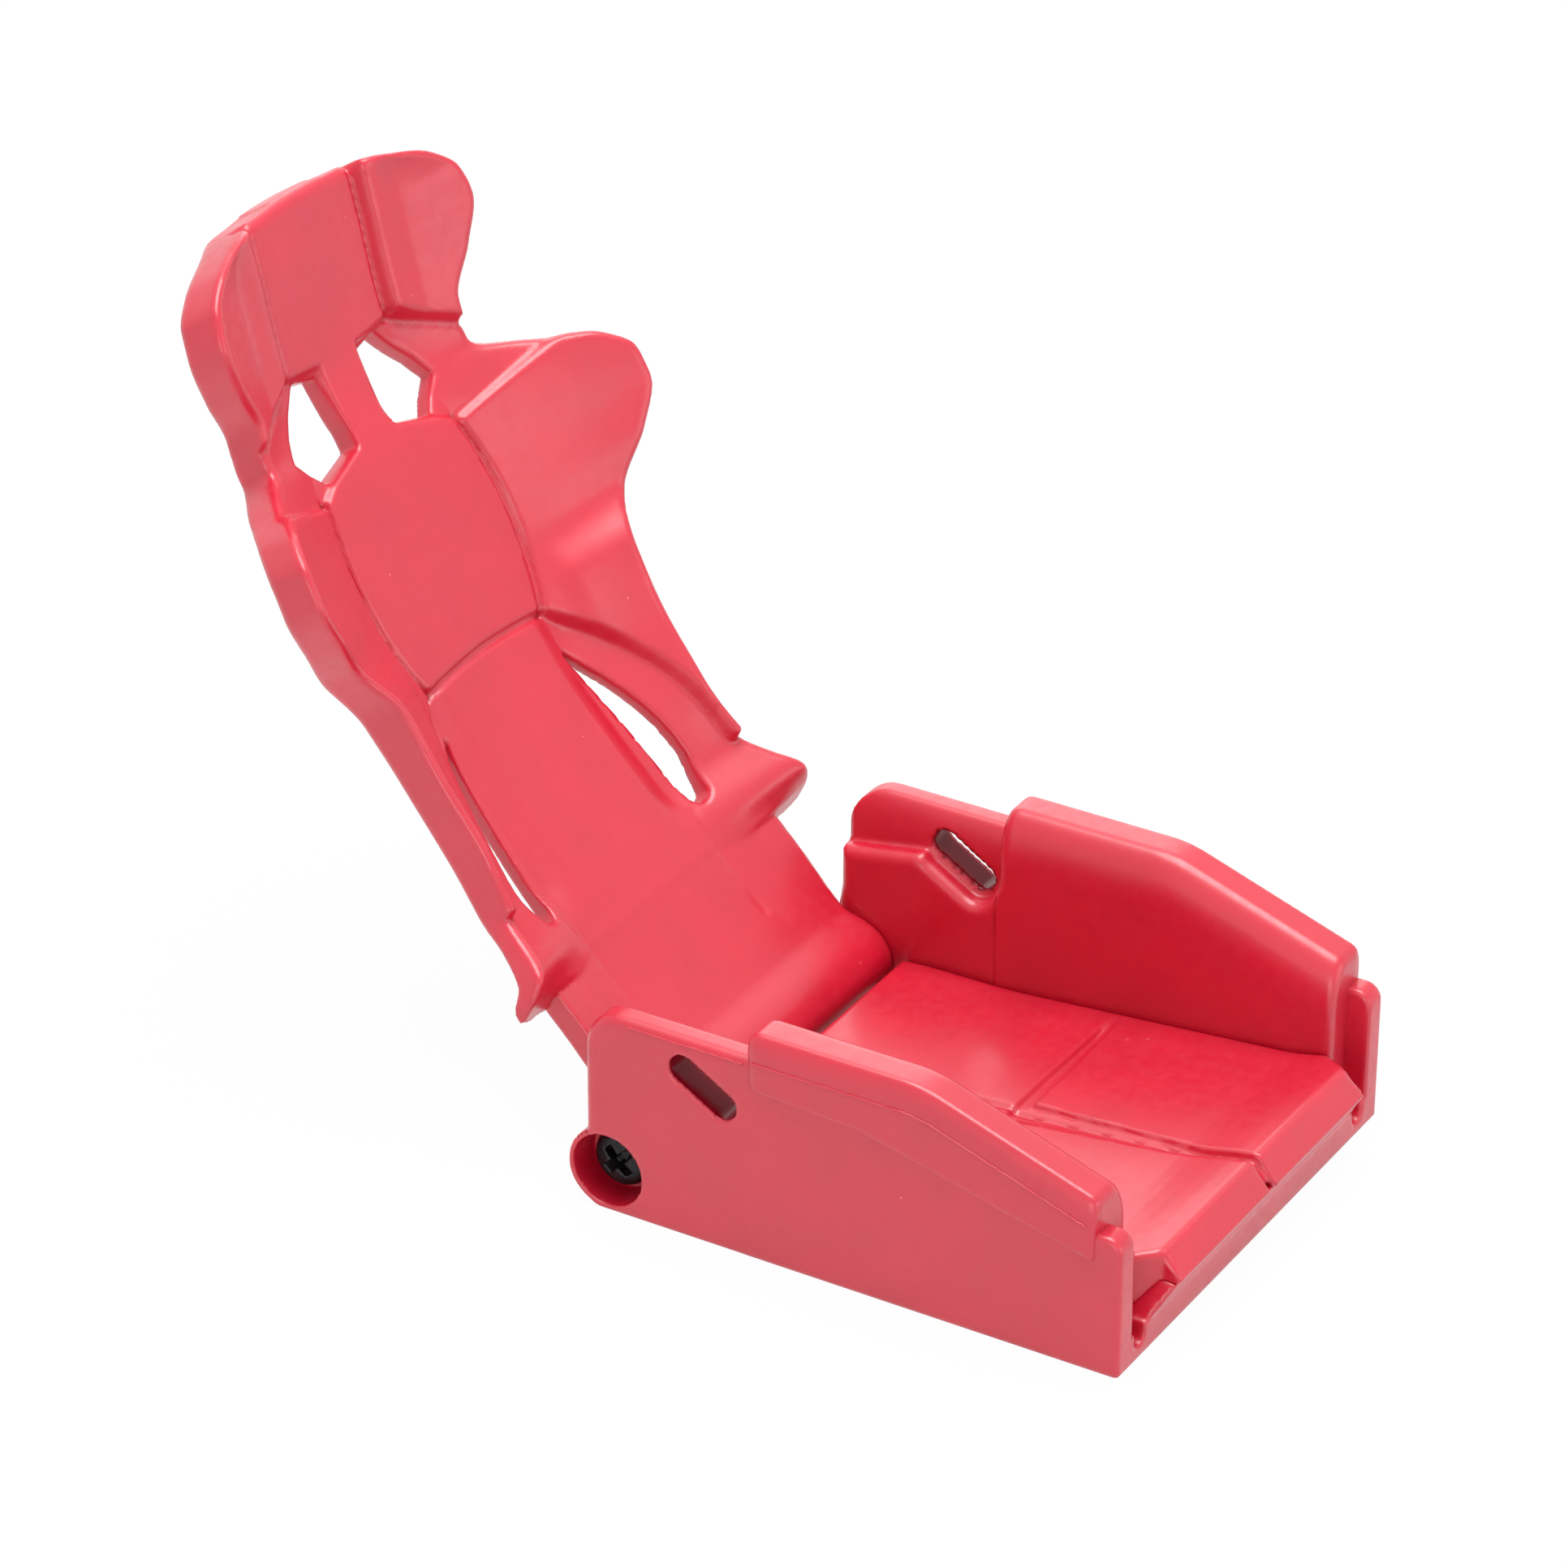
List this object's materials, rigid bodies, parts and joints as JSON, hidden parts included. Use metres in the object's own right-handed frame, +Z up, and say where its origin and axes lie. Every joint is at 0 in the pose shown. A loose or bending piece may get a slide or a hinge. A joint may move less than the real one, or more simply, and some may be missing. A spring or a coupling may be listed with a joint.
{
  "type": "racing seat",
  "caption": "Small moulded bucket seat with side bolsters, a winged back with belt openings, and a recline hinge on pivot screws in deep counterbores.",
  "frame": {"origin": "middle of the base's flat underside, between the side walls", "axes": "+Z up, -Y towards the front of the seat, +X to the left-hand side of someone sitting in it"},
  "size_m": [0.0554, 0.1063, 0.0788],
  "materials": {
    "shell_plastic": "satin moulded red",
    "pad_plastic": "satin moulded red",
    "screw_steel": "black oxide"
  },
  "bodies": {
    "base": {"seat_base": "shell_plastic", "seat_cushion": "pad_plastic", "bolster_left": "pad_plastic", "bolster_right": "pad_plastic"},
    "back": {"backrest": "shell_plastic", "pivot_screw_left": "screw_steel", "pivot_screw_right": "screw_steel"}
  },
  "joints": [
    {"name": "recline_hinge", "type": "hinge", "parent": "base", "child": "back", "pos_m": [0, 0.0247, 0.0041], "axis": [1, 0, 0], "range_deg": [-30, 30]}
  ]
}
